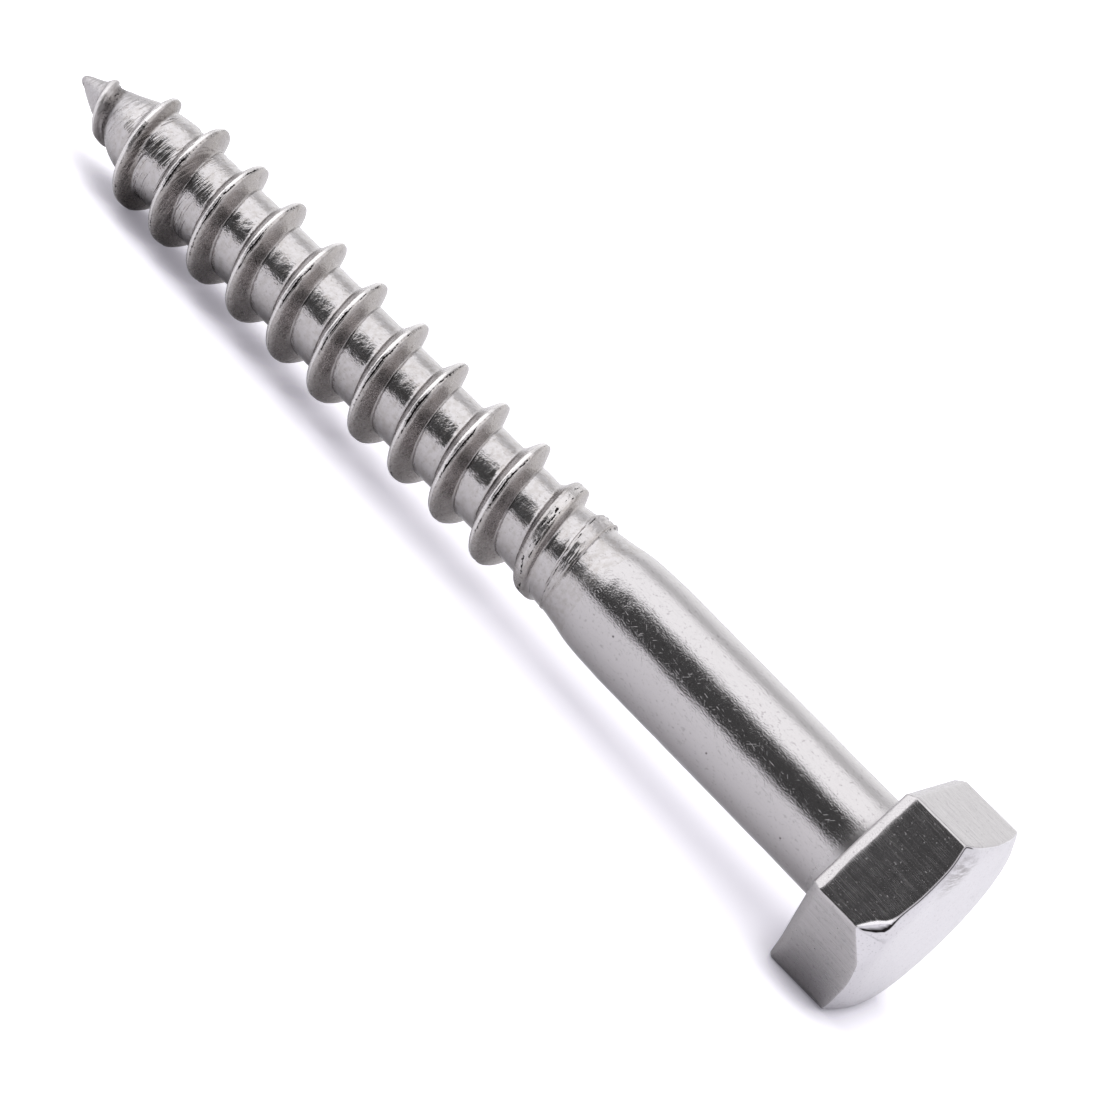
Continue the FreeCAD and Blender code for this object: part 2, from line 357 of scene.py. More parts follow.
def surface(x, theta):
    """The radius at each place, and its marks: crack, fold, ridge and the ridge's side."""
    core = blank_radius(x, theta)
    radius = core.copy()
    crack, fold_and_painted_shade, ridge = np.zeros(x.shape), np.zeros(x.shape), np.zeros(x.shape)
    side = np.full(x.shape, 0.5)
    for following in (0, 1):
        turn = Turn(x, theta, following)
        gap = crest_gap(turn)
        lap, grooves, hollow = foot_marks(turn, core)
        height = ridge_height(turn) - GAP_DEPTH * gap
        mixed = np.clip(0.5 + 0.5 * (height - radius) / WELD, 0.0, 1.0)
        radius = radius * (1 - mixed) + height * mixed + WELD * mixed * (1 - mixed) * 0.5
        radius = radius - LAP_DEPTH * lap - GROOVE_DEPTH * grooves * (0.6 + 0.4 * turn.rough)
        radius = radius - HOLLOW_DEPTH * hollow
        # The hollow behind the lip goes into the crack and fold marks, which the colour darkens as painted
        # shade, as it darkens the lap.
        crack = np.maximum(crack, np.maximum(gap * mixed, 0.33 * hollow))
        fold_and_painted_shade = np.maximum(fold_and_painted_shade, np.maximum(lap, 0.9 * hollow))
        side = np.where(mixed > 0.05, gate(turn.offset, -0.1, 0.3), side)
        # The rim on the point's side of the crest, the last turn's lips and its flat lift the ridge mark above
        # 1, where only the colour's painted highlight reads it.
        rim = gate(turn.offset, -0.46, -0.34) * (1.0 - gate(turn.offset, -0.05, -0.01)) * (1.0 - turn.late)
        rim = np.maximum(rim, np.maximum(turn.lip * turn.ending, 0.35 * turn.late * turn.on_flat))
        ridge = np.maximum(ridge, mixed * (gate(turn.crest - core, 0.1, 0.5) + rim))
    return radius, np.stack([crack, fold_and_painted_shade, ridge, side], axis=1)


print("radius half way", surface(np.array([-45.0]), np.array([1.0]))[0])

# %% [markdown]
# ## A grid that follows the thread
# A grid of plain rings would cut across the ridge and leave steps in its crest. Here the rows wind with the
# thread, so the same row runs along the crest from end to end, and rows crowd where the section turns
# sharply. One more turn at each end, squeezed to nothing, takes the spiral back to a plain ring.

# %% Points and their marks
COLUMNS = 168
PLAIN = (0.0, 0.0, 0.0, 0.5)
columns = np.arange(COLUMNS)
angles = columns * 2 * math.pi / COLUMNS
places = []
marks = []


def add_loop(x, y, z, mark=PLAIN):
    """A closed loop of points round the screw, with their marks; returns the number of its first point."""
    first = sum(len(block) for block in places)
    places.append(np.stack(np.broadcast_arrays(x, y, z), axis=1))
    marks.append(np.broadcast_to(mark, (len(places[-1]), 4)))
    return first


def add_ring(x, radius, mark=PLAIN):
    """A loop at this radius round the bowed axis."""
    return add_loop(x, radius * np.cos(angles), radius * np.sin(angles) + follow(BOW, x), mark)


print(COLUMNS, "points to a loop, one each", round(360 / COLUMNS, 2), "degrees")

# %% Where the rows run
ROW_OFFSETS = (-1.80, -1.50, -1.22, -1.00, -0.86, -0.77, -0.66, -0.52, -0.38, -0.26, -0.17, -0.11, -0.06,
               -0.02, 0.02, 0.06, 0.11, 0.18, 0.28, 0.40, 0.54, 0.65, 0.71, 0.76, 0.81, 0.90, 1.08, 1.32,
               1.56, 1.80)
ROWS = len(ROW_OFFSETS) - 1
FIRST_TURN, LAST_TURN = -1, 11
FIRST_SHIFT = 1.05


def nominal_crest(column, turn):
    """Where the crest of a turn stands at a column, before any shift."""
    return CREST_AT + PITCH * (column / COLUMNS - 0.25 + turn)


spiral_end = nominal_crest(0, LAST_TURN + 2) - PITCH / 2 + crest_shift(nominal_crest(0, LAST_TURN + 2))
print("the spiral ends at", round(float(spiral_end), 2), "mm")

# %% Rows that wind with the thread


def row_places(turn, row):
    """Where a row of a turn runs, for each column. Rows half way between two crests share their shifts."""
    crest = nominal_crest(columns, turn)
    offset = ROW_OFFSETS[row]
    if turn < FIRST_TURN:
        upper = row_places(FIRST_TURN, 0)
        return upper[0] + (upper - upper[0]) * (offset + PITCH / 2) / PITCH
    if turn > LAST_TURN:
        lower = crest - PITCH / 2 + (crest_shift(crest) + crest_shift(crest - PITCH)) / 2
        return lower + (spiral_end - lower) * (offset + PITCH / 2) / PITCH
    share = abs(offset) / (PITCH / 2)
    beyond = crest_shift(crest + math.copysign(PITCH, offset))
    shift = crest_shift(crest) * (1 - share) + (crest_shift(crest) + beyond) / 2 * share
    if turn == FIRST_TURN and offset < 0:
        offset = offset * (1 - FIRST_SHIFT * (1 - columns / COLUMNS) / (PITCH / 2))
    return crest + offset + shift


row_starts = {}
for turn in range(FIRST_TURN - 1, LAST_TURN + 2):
    for row in range(ROWS):
        x = row_places(turn, row)
        radius, mark = surface(x, angles)
        row_starts[turn, row] = add_ring(x, radius, mark)
radius, mark = surface(np.full(COLUMNS, spiral_end), angles)
end_ring = add_ring(spiral_end, radius, mark)
print(len(row_starts), "rows")

# %% [markdown]
# ## Faces over the rows
# Faces are lists of point numbers. A row's last column meets the first column of the next turn, and where
# the spiral is squeezed to nothing several corners fall together, so a face keeps each of its corners once.

# %% Which point stands where


def spiral_point(turn, column, row):
    """The number of a point of the winding grid, where its edges meet themselves and the end rings."""
    if column == COLUMNS:
        turn, column = turn + 1, 0
    if row == ROWS:
        turn, row = turn + 1, 0
    if turn > LAST_TURN + 1:
        return end_ring + column
    if turn == FIRST_TURN - 1 and column == 0:
        turn, row = FIRST_TURN, 0
    return row_starts[turn, row] + column


print("the grid starts at point", spiral_point(FIRST_TURN - 1, 0, 0))

# %% Faces of the thread
THREAD_STEEL, SHANK_STEEL, HEAD_STEEL, END_STEEL = range(4)
faces = []
finishes = []


def add_face(corners, finish):
    """A face of the mesh, with corners that fall together taken once."""
    kept = [c for i, c in enumerate(corners) if c != corners[i - 1]]
    if len(set(kept)) == len(kept) and len(kept) > 2:
        faces.append(kept)
        finishes.append(finish)


for turn in range(FIRST_TURN - 1, LAST_TURN + 2):
    for column in range(COLUMNS):
        for row in range(ROWS):
            corners = [spiral_point(turn, column, row), spiral_point(turn, column + 1, row),
                       spiral_point(turn, column + 1, row + 1), spiral_point(turn, column, row + 1)]
            add_face(corners, THREAD_STEEL)
print(len(faces), "faces in the thread")

# %% [markdown]
# ## The point and the shank
# Both are plain turned shapes, so plain rings of points do, one for each step along the axis. The tip was
# cut and tumbled, so it ends in a small rounded flat.

# %% Faces between two rings


def ring(first):
    """The numbers of a ring's points, by column."""
    return range(first, first + COLUMNS)


def join_rings(lower, upper, finish):
    """Faces between two rings, the lower one nearer the tip."""
    for column in range(COLUMNS):
        after = (column + 1) % COLUMNS
        add_face([lower[after], upper[after], upper[column], lower[column]], finish)


print("a joint of two rings takes", COLUMNS, "faces")

# %% The rounded tip
TIP_PROFILE = ((0.005, 0.12), (0.03, 0.20), (0.09, 0.262), (0.2, 0.325))
tip_point = add_loop([TIP], [0.0], [0.0])
tip_rings = [ring(add_ring(TIP + back, radius)) for back, radius in TIP_PROFILE]
tip_rings.append([spiral_point(FIRST_TURN - 1, column, 0) for column in range(COLUMNS)])
for column in range(COLUMNS):
    add_face([tip_rings[0][(column + 1) % COLUMNS], tip_rings[0][column], tip_point], THREAD_STEEL)
for lower, upper in zip(tip_rings, tip_rings[1:]):
    join_rings(lower, upper, THREAD_STEEL)
print(len(tip_rings), "rings in the tip")

# %% The shank
NEAR_THREAD = np.arange(-21.35, -19.0, 0.22)
TO_THE_HEAD = np.arange(-19.0, -1.0, 0.5)
previous = ring(end_ring)
for x in (*NEAR_THREAD, *TO_THE_HEAD, -0.7, -0.42):
    radius, mark = surface(np.full(COLUMNS, x), angles)
    following = ring(add_ring(x, radius, mark))
    join_rings(previous, following, SHANK_STEEL)
    previous = following
print(len(faces), "faces with the shank")

# %% [markdown]
# ## The head's outline
# The head goes on with the same loops: they open from the shank's circle to a hexagon. A six-sided cylinder
# with a bevel would be quicker, but then its points would not meet the shank's. Here the 28 columns of each
# side crowd at the six corners, which have a small radius, because no die has a sharp corner.

# %% The hexagon by column
ACROSS_FLATS = 13.0
SIDE = COLUMNS // 6
CORNER_STEPS = 3
CORNER_ROUNDING = 0.25
LEAST_ROUNDING = 0.08
HALF_FLATS = ACROSS_FLATS / 2
HALF_CORNERS = ACROSS_FLATS / math.sqrt(3)


def corner_point(apothem, rounding, corner, step):
    """A point of a corner's small arc."""
    turn = corner * math.pi / 3
    swing = step / CORNER_STEPS * math.pi / 6
    centre = (apothem - rounding) / math.cos(math.pi / 6)
    return (centre * math.cos(turn) + rounding * math.cos(turn + swing),
            centre * math.sin(turn) + rounding * math.sin(turn + swing))


def flat_point(apothem, rounding, flat, share):
    """A point of a flat between its two corners' arcs."""
    middle = (flat + 0.5) * math.pi / 3
    reach = rounding * math.tan(math.pi / 6)
    half_side = apothem * math.tan(math.pi / 6)
    along = (share * 2 - 1) * (half_side - reach)
    return (apothem * math.cos(middle) - along * math.sin(middle),
            apothem * math.sin(middle) + along * math.cos(middle))


def hexagon(inset):
    """The hexagon's outline by column, taken in by an inset, with rounded corners."""
    apothem = HALF_FLATS - inset
    rounding = max(CORNER_ROUNDING - inset * 0.3, LEAST_ROUNDING)
    outline = []
    for column in range(COLUMNS):
        corner = round(column / SIDE)
        step = column - corner * SIDE
        flat = column // SIDE
        if abs(step) <= CORNER_STEPS:
            outline.append(corner_point(apothem, rounding, corner, step))
        else:
            share = (column - flat * SIDE - CORNER_STEPS) / (SIDE - 2 * CORNER_STEPS)
            outline.append(flat_point(apothem, rounding, flat, share))
    return np.array(outline)


print("across corners", round(2 * float(np.hypot(*hexagon(0.0)[0])), 2), "mm")

# %% [markdown]
# ## The end of the head
# The end is flat with a chamfer turned round it, crowned a little and not quite in the middle, because the
# two halves of the die were not quite in line. One corner was not filled in the die: it ends short, at a
# slant. One height over each place says all of this, so every loop of the end can ask it where to lie.

# %% The crown's arc
HEAD_HEIGHT = 5.2
END_RADIUS = 5.95
CHAMFER_SLOPE = math.tan(math.radians(30.0))
CROWN_RADIUS = 12.0
CROWN_RISE = 0.1
CROWN_REACH = HALF_CORNERS + 2.0
crown_start = np.array([END_RADIUS - CROWN_RISE / CHAMFER_SLOPE, HEAD_HEIGHT + CROWN_RISE])
crown_end = np.array([CROWN_REACH, HEAD_HEIGHT - (CROWN_REACH - END_RADIUS) * CHAMFER_SLOPE])
chord = crown_end - crown_start
crown_middle = (crown_start + crown_end) / 2
crown_middle += (np.array([chord[1], -chord[0]]) / np.hypot(*chord)
                 * math.sqrt(CROWN_RADIUS ** 2 - chord @ chord / 4))
print("the crown's arc is struck from", crown_middle.round(2))

# %% How high the head ends
DIE_SHIFT = (0.30, 0.17)
SHORT_CORNER = 3.55
UPPER_SLANT = 1.6
LOWER_SLANT = 1.05
EDGE_WEAR = 0.12


def end_height(points):
    """How high the head ends over a place (y, z): the flat, the crowned chamfer or the short corner."""
    reach = np.hypot(points[:, 0] - DIE_SHIFT[0], points[:, 1] - DIE_SHIFT[1])
    crown = crown_middle[1] + np.sqrt(CROWN_RADIUS ** 2 - np.maximum(reach - crown_middle[0], 0.0) ** 2)
    slope = np.where(points[:, 1] > 0, UPPER_SLANT, LOWER_SLANT)
    slant = SHORT_CORNER + (HALF_CORNERS + points[:, 0]) * slope
    wavy = 0.05 * uneven(points[:, 0] * 0.8, points[:, 1] * 0.8, 0.0, 33)
    worn = 0.5 * np.maximum(EDGE_WEAR - np.abs(HEAD_HEIGHT - crown), 0.0)
    height = np.minimum(crown, HEAD_HEIGHT) - worn
    return np.minimum(height + wavy * gate(reach, END_RADIUS, END_RADIUS + 1.0), slant)


print("short corner ends at", end_height(np.array([[-HALF_CORNERS, 0.0]])), "mm")

# %% [markdown]
# ## Neck, bearing face and under-head edge
# A small hollow round joins the shank to the bearing face, so the screw does not break there. The edge under
# the head is rounded by the die, and less so at the bottom, where the screw rests.

# %% Neck and bearing face
NECK = 0.4
NECK_STEPS = 5
RIM_INSET = 0.45
circle = np.stack([np.cos(angles), np.sin(angles)], axis=1)
head_rings = []


def add_outline(x, points, mark=PLAIN):
    """One loop of the head from its (y, z) places."""
    head_rings.append(ring(add_loop(x, points[:, 0], points[:, 1], mark)))


for step in range(1, NECK_STEPS + 1):
    swing = step / NECK_STEPS * math.pi / 2
    radius = SHANK + NECK * (1 - math.cos(swing))
    add_outline(-NECK + NECK * math.sin(swing), circle * radius)
rim = hexagon(RIM_INSET)
for share in (0.15, 0.4, 0.7, 0.92, 1.0):
    add_outline(0.0, circle * (SHANK + NECK) * (1 - share) + rim * share)
print(len(head_rings), "loops from the shank to the under-head edge")

# %% Under-head edge
EDGE_TOP = 0.70
UNDER_EDGE = ((0.06, 0.37), (0.20, 0.27), (0.36, 0.17), (0.52, 0.08), (0.63, 0.02), (EDGE_TOP, 0.0))
side = hexagon(0.0)
bevel = 0.4 + 0.6 * gate(side[:, 1], -6.3, -4.6)
waviness = 1.0 + 0.06 * uneven(side[:, 0] * 1.3, side[:, 1] * 1.3, 0.0, 31)
waviness = bevel * (waviness + 0.05 * uneven(side[:, 0] * 4, side[:, 1] * 4, 0.0, 32))
for rise, inset in UNDER_EDGE:
    worked = side * (1 - bevel)[:, None] + hexagon(inset) * bevel[:, None]
    add_outline(rise * waviness, worked)
print("edge rises", (EDGE_TOP * waviness).min().round(2), "to", (EDGE_TOP * waviness).max().round(2), "mm")

# %% [markdown]
# ## Flats, chip and end face
# The flats go up to where the end is, less a small edge. Beside the short corner that edge is broad and
# painted bright, a painted highlight where metal broke off at the chip, so the points there carry a mark for
# the finish, and so does the dark line of the lip that was left standing.

# %% The flats
EDGE = 0.10
CHIP = 0.36
CHIP_AT = 0.95
CHIP_OVER = 0.75
from_short = np.hypot(side[:, 0] + HALF_CORNERS, side[:, 1])
facing = (side[:, 1] > 0.05) & (side[:, 0] < -HALF_FLATS * 0.5)
chip = np.exp(-((from_short - CHIP_AT) / CHIP_OVER) ** 2) * facing
edge = EDGE + CHIP * chip
low = EDGE_TOP * waviness
top = end_height(side) - edge
for share in np.linspace(0, 1, 13)[1:]:
    add_outline(low + (top - low) * share, side)
print("the broadest part of the edge is", edge.max().round(2), "mm")

# %% The edge of the end
EDGE_SWINGS = (0.35, 0.75, 1.15)
painted_chip_mark = np.tile(PLAIN, (COLUMNS, 1))
painted_chip_mark[:, 2] = chip
line_mark = painted_chip_mark.copy()
line_mark[:, 0] = facing


def taken_in(amounts):
    """The outline moved in by a different amount at each column."""
    reach_out = np.hypot(side[:, 0], side[:, 1])
    return side * (1 - amounts / reach_out)[:, None]


for swing in EDGE_SWINGS:
    taken = taken_in(edge * (1 - math.cos(swing)))
    add_outline(end_height(side) - edge * (1 - math.sin(swing)), taken, painted_chip_mark)
flats_end = len(head_rings)
lip = taken_in(edge)
add_outline(end_height(lip) - 0.05 * facing, lip, line_mark)
lip = taken_in(edge + 0.09)
add_outline(end_height(lip), lip)
print(flats_end, "loops to the top of the flats")

# %% Chamfer and end face
flat_circle = circle * (END_RADIUS - 0.05) + np.array(DIE_SHIFT)
for share in (0.15, 0.35, 0.55, 0.75, 0.9, 1.0):
    inside = lip * (1 - share) + flat_circle * share
    add_outline(end_height(inside), inside)
for share in (0.95, 0.8, 0.62, 0.45, 0.3, 0.16, 0.07):
    add_outline(HEAD_HEIGHT, flat_circle * share)
end_point = add_loop([HEAD_HEIGHT], [0.0], [0.0])
print(len(head_rings), "loops in the head")

# %% Faces of the head
for index, following in enumerate(head_rings):
    finish = SHANK_STEEL if index < NECK_STEPS else HEAD_STEEL if index < flats_end else END_STEEL
    join_rings(previous, following, finish)
    previous = following
for column in range(COLUMNS):
    add_face([previous[column], previous[(column + 1) % COLUMNS], end_point], END_STEEL)
print(len(faces), "faces in all")

# %% [markdown]
# ## One closed mesh
# The points, faces and marks become one mesh. Points that no face uses, where the spiral closes, are left
# out. The marks are kept as a colour attribute that the finishes read: on the thread red is the crack and a
# third of the hollow behind the lip, green the fold at the ridge's foot and that hollow, both darkened as
# painted shade, blue the ridge, whose rim above 1 gets a painted highlight, and alpha the ridge's side, and
# on the head red is the lip's dark line and blue the chip, painted bright as a highlight.

# %% Make the mesh
all_places = np.concatenate(places)
used = np.unique(np.concatenate([np.array(face) for face in faces]))
renumbered = np.full(len(all_places), -1)
renumbered[used] = np.arange(len(used))
corners = [[int(renumbered[c]) for c in face] for face in faces]
screw_mesh = bpy.data.meshes.new("lag_screw_steel")
screw_mesh.from_pydata(resting(all_places[used]).tolist(), [], corners)
screw_mesh.polygons.foreach_set("material_index", finishes)
screw_mesh.polygons.foreach_set("use_smooth", [True] * len(finishes))
marking = screw_mesh.attributes.new("marks", "FLOAT_COLOR", "POINT")
marking.data.foreach_set("color", np.concatenate(marks)[used].ravel())
screw_mesh.validate()
screw_mesh.update()
print("points", len(screw_mesh.vertices), "triangles", sum(len(p.vertices) - 2 for p in screw_mesh.polygons))

# %% Is it closed?
edge_uses = {}
for polygon in screw_mesh.polygons:
    for key in polygon.edge_keys:
        edge_uses[key] = edge_uses.get(key, 0) + 1
print("open edges", sum(1 for uses in edge_uses.values() if uses != 2))

# %% [markdown]
# ## The piece and its frame
# Smooth shading alone would round the head's flats. A weighted normal modifier gives big faces the say, so
# the flats stay flat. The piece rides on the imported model's one body and takes its node's place.

# %% Place the screw
screw = bpy.data.objects.new("lag_screw_steel", screw_mesh)
bpy.context.scene.collection.objects.link(screw)
weighted = screw.modifiers.new("flats stay flat", "WEIGHTED_NORMAL")
weighted.keep_sharp = True
weighted.weight = 50
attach(screw, "root")
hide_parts("lag_screw")
print("lowest place of the steel", round(float(resting(all_places[used])[:, 2].min()) / MM, 3), "mm")

# %% [markdown]
# ## Colours and nodes
# Colours are written as sRGB hex, as they would be picked on a screen, and turned to linear light here. One
# helper adds a node with its settings and links, so that a finish reads as a short list of steps.

# %% Colours


def colour(text):
    """An sRGB hex colour as linear light."""
    parts = [int(text[i:i + 2], 16) / 255 for i in (1, 3, 5)]
    return tuple(p / 12.92 if p <= 0.04045 else ((p + 0.055) / 1.055) ** 2.4 for p in parts) + (1.0,)


print("stainless", [round(v, 3) for v in colour("#bdbabc")])

# %% Nodes


def add_node(tree, kind, *fed, output=None, **named):
    """Add a node and return one of its outputs, the first unless another is named.

    Values and other nodes' outputs feed its open sockets in order. Among the named ones, a word with a
    capital is a socket, as Blender writes it, and a small one is a setting.
    """
    node = tree.nodes.new("ShaderNode" + kind)
    for word, value in named.items():
        if word[0].islower():
            setattr(node, word, value)
    feeds = list(zip([socket for socket in node.inputs if socket.enabled], fed))
    feeds += [(node.inputs[word], value) for word, value in named.items() if word[0].isupper()]
    for socket, value in feeds:
        if isinstance(value, bpy.types.NodeSocket):
            tree.links.new(value, socket)
        else:
            socket.default_value = value
    return node.outputs[output] if output else next(socket for socket in node.outputs if socket.enabled)


print("node helper ready")

# %% [markdown]
# ## Patterns in millimetres
# Every pattern reads the object's own place, scaled to millimetres, so its size is the real size. Stretching
# the place before the noise gives lines: drawing and forging leave them along the axis. Values come out of
# the noise near one half, so each use says which part of that range it wants.

# %% Pattern helpers
SCRATCH = (0.7, 0.8, 0.045)


def millimetres(tree):
    """The object's own place in millimetres."""
    place = add_node(tree, "TexCoord", output="Object")
    return add_node(tree, "VectorMath", place, 1 / MM, operation="SCALE")


def worked_noise(tree, place, lumps, detail=2.0):
    """Noise with this many lumps to the millimetre along x, y and z: fewer along x gives lines."""
    stretched = add_node(tree, "VectorMath", place, lumps, operation="MULTIPLY")
    return add_node(tree, "TexNoise", stretched, Scale=1.0, Detail=detail, Roughness=0.6)


def scratches(tree, place, turn, low):
    """Scratches 0.7 mm long and 0.045 mm wide, in the XZ plane at this angle to the axis."""
    turned = add_node(tree, "Mapping", place, Rotation=(0.0, math.radians(turn), 0.0), Scale=SCRATCH,
                      vector_type="TEXTURE")
    value = add_node(tree, "TexNoise", turned, Scale=1.0, Detail=1.0)
    return add_node(tree, "MapRange", value, low, low + 0.06, 0.0, 1.0)


print("a scratch is", SCRATCH[0], "mm long")

# %% [markdown]
# ## Stainless steel
# The screw is plain stainless steel, an almost neutral grey metal. Every finish starts from it, with lines
# left by the work and a fine grain over them. The real grain is a few hundredths of a millimetre, too fine to
# show here, so it is drawn at a tenth of a millimetre. Heights are given in micrometres and go through one
# bump at the end. How rough the surface is says how sharp the room shows in it: about 0.15 for rolled and
# drawn steel, 0.2 for forged flats and 0.35 for the satin end.

# %% Relief, colour and roughness laid on a finish


def add_relief(finish, pattern, micrometres):
    """Raise the surface by a pattern, so many micrometres where it is 1; minus cuts it in."""
    rise = add_node(finish["tree"], "Math", pattern, micrometres, operation="MULTIPLY")
    finish["height"] = add_node(finish["tree"], "Math", finish["height"], rise, operation="ADD")


def add_tint(finish, share, text):
    """Lay a colour over the surface by this share, from 0 to 1."""
    finish["tint"] = add_node(finish["tree"], "Mix", share, finish["tint"], colour(text), data_type="RGBA")


def add_roughness(finish, amount):
    """Make the surface rougher by this amount."""
    finish["rough"] = add_node(finish["tree"], "Math", finish["rough"], amount, operation="ADD")


print("a finish is built up from relief, colour and roughness")

# %% Steel with worked lines and a grain
FINE_GRAIN = (8.0, 10.0, 10.0)
SPECKS = (4.0, 6.0, 6.0)
PATCHES = (0.35, 0.8, 0.8)


def steel(name, tone, dark, roughness, spread, lines, grain, line_lumps=(0.5, 10.0, 10.0)):
    """Stainless steel with worked lines along the axis and a fine grain; returns its parts to build on."""
    material = bpy.data.materials.new(name)
    material.use_nodes = True
    tree = material.node_tree
    shader = tree.nodes["Principled BSDF"]
    shader.inputs["Metallic"].default_value = 1.0
    place = millimetres(tree)
    line = worked_noise(tree, place, line_lumps, 3.0)
    fine = worked_noise(tree, place, FINE_GRAIN, 2.0)
    speck = add_node(tree, "MapRange", worked_noise(tree, place, SPECKS, 1.0), 0.62, 0.72, 0.0, 0.45)
    patch = worked_noise(tree, place, PATCHES, 2.0)
    tint = add_node(tree, "Mix", speck, colour(tone), colour(dark), data_type="RGBA")
    line_tone = add_node(tree, "MapRange", line, 0.55, 0.75, 0.0, 0.15)
    tint = add_node(tree, "Mix", line_tone, tint, colour(dark), data_type="RGBA")
    rough = add_node(tree, "MapRange", line, 0.35, 0.65, roughness - spread, roughness + spread)
    patchy = add_node(tree, "MapRange", patch, 0.35, 0.65, -0.02, 0.02)
    rough = add_node(tree, "Math", rough, patchy, operation="ADD")
    height = add_node(tree, "Math", line, lines, operation="MULTIPLY")
    finish = {"material": material, "tree": tree, "shader": shader, "place": place, "line": line,
              "fine": fine, "tint": tint, "rough": rough, "height": height}
    add_relief(finish, fine, grain)
    return finish


print("grain of", 1 / FINE_GRAIN[1], "mm")

# %% A finish linked to its shader
MICROMETRE = 0.000001


def finish_steel(finish):
    """Link the parts to the shader, the heights through one bump in real micrometres."""
    tree, shader = finish["tree"], finish["shader"]
    tree.links.new(finish["tint"], shader.inputs["Base Color"])
    tree.links.new(finish["rough"], shader.inputs["Roughness"])
    bump = add_node(tree, "Bump", Strength=1.0, Distance=MICROMETRE, Height=finish["height"])
    tree.links.new(bump, shader.inputs["Normal"])
    screw_mesh.materials.append(finish["material"])
    return finish["material"].name


print("heights count in steps of", MICROMETRE, "m")

# %% [markdown]
# ## Rolled thread
# The dies burnished the core and left the ridge's flanks dull, with scale pressed in on the head side. Metal
# that did not quite meet at the crest left a black seam, and at the ridge's foot a lap. To the eye the core
# is bright with soft lumps about half a millimetre long, the crest is a bright line, and the flanks are grey.
# The crest's rim is lightened as a painted highlight. The lap, the hollow behind the first lip, the head-side
# flanks of the first turns and the point are darkened as painted shade.

# %% Marks and places on the thread
rolled = steel("rolled stainless thread", "#bdbabc", "#8a8583", roughness=0.17, spread=0.04, lines=5.0,
               grain=9.0)
tree = rolled["tree"]
marked = add_node(tree, "Attribute", attribute_name="marks")
crack = add_node(tree, "SeparateColor", marked)
fold_and_painted_shade, ridge = crack.node.outputs["Green"], crack.node.outputs["Blue"]
side_of = marked.node.outputs["Alpha"]
along_axis = add_node(tree, "SeparateXYZ", rolled["place"])
on_ridge = add_node(tree, "MapRange", ridge, 0.0, 1.0, 0.0, 1.0)
at_point = add_node(tree, "MapRange", along_axis, -65.0, -63.6, 1.0, 0.0)
print("thread reads", marked.node.attribute_name)

# %% Lumps, grain and round lines
LUMPS = (2.2, 1.6, 1.6)
MOTTLE = (3.0, 2.2, 2.2)
ROUND_LINES = (5.0, 0.35, 0.35)
lump_height = add_node(tree, "MapRange", along_axis, -26.5, -24.0, 38.0, 8.0)
add_relief(rolled, worked_noise(tree, rolled["place"], LUMPS, 3.0), lump_height)
point_grain = add_node(tree, "Math", at_point, 16.0, operation="MULTIPLY")
add_relief(rolled, rolled["fine"], point_grain)
line_height = add_node(tree, "MapRange", along_axis, -58.0, -54.0, 80.0, 0.0)
add_relief(rolled, worked_noise(tree, rolled["place"], ROUND_LINES, 2.0), line_height)
mottle = add_node(tree, "MapRange", worked_noise(tree, rolled["place"], MOTTLE, 3.0), 0.42, 0.68, 0.0, 0.5)
add_tint(rolled, mottle, "#a09a96")
# The whole point is tinted a darker lavender grey: painted shade standing in for the shaded paper it reflects.
add_tint(rolled, add_node(tree, "Math", at_point, 0.35, operation="MULTIPLY"), "#a4a1a6")
print("lumps of", round(1 / LUMPS[0], 2), "mm along the axis")

# %% Dull flanks
flank = add_node(tree, "MapRange", side_of, 0.0, 1.0, 0.2, 0.85)
flank = add_node(tree, "Math", on_ridge, flank, operation="MULTIPLY")
grainy = add_node(tree, "MapRange", rolled["fine"], 0.3, 0.6, 0.5, 1.0)
add_tint(rolled, add_node(tree, "Math", flank, grainy, operation="MULTIPLY"), "#9a9491")
# The head-side flanks of the first turns are darkened further: painted shade for the shaded paper they reflect
# where the screw rests.
early_turns_painted_shade = add_node(tree, "MapRange", along_axis, -63.5, -57.0, 0.75, 0.0)
early_turns_painted_shade = add_node(tree, "Math", early_turns_painted_shade, on_ridge, operation="MULTIPLY")
add_tint(rolled, add_node(tree, "Math", early_turns_painted_shade, side_of, operation="MULTIPLY"), "#736d6a")
print("flanks dulled on the ridge, most on the head's side")

# %% Scale, laps in painted shade, crest with a painted highlight, and black seam
SCALE_SPOTS = (3.0, 3.0, 3.0)
RAGGED_EDGE = (7.0, 7.0, 7.0)
near_fold = add_node(tree, "Math", fold_and_painted_shade, 0.16, operation="MULTIPLY")
scale = worked_noise(tree, rolled["place"], SCALE_SPOTS, 3.0)
scale = add_node(tree, "Math", scale, near_fold, operation="ADD")
scale = add_node(tree, "MapRange", scale, 0.60, 0.70, 0.0, 0.5)
add_tint(rolled, add_node(tree, "Math", scale, on_ridge, operation="MULTIPLY"), "#5b5350")
# The lap and the hollow behind the lip are darkened here: painted shade in the crease.
add_tint(rolled, add_node(tree, "MapRange", fold_and_painted_shade, 0.2, 0.9, 0.0, 0.75), "#5d5755")
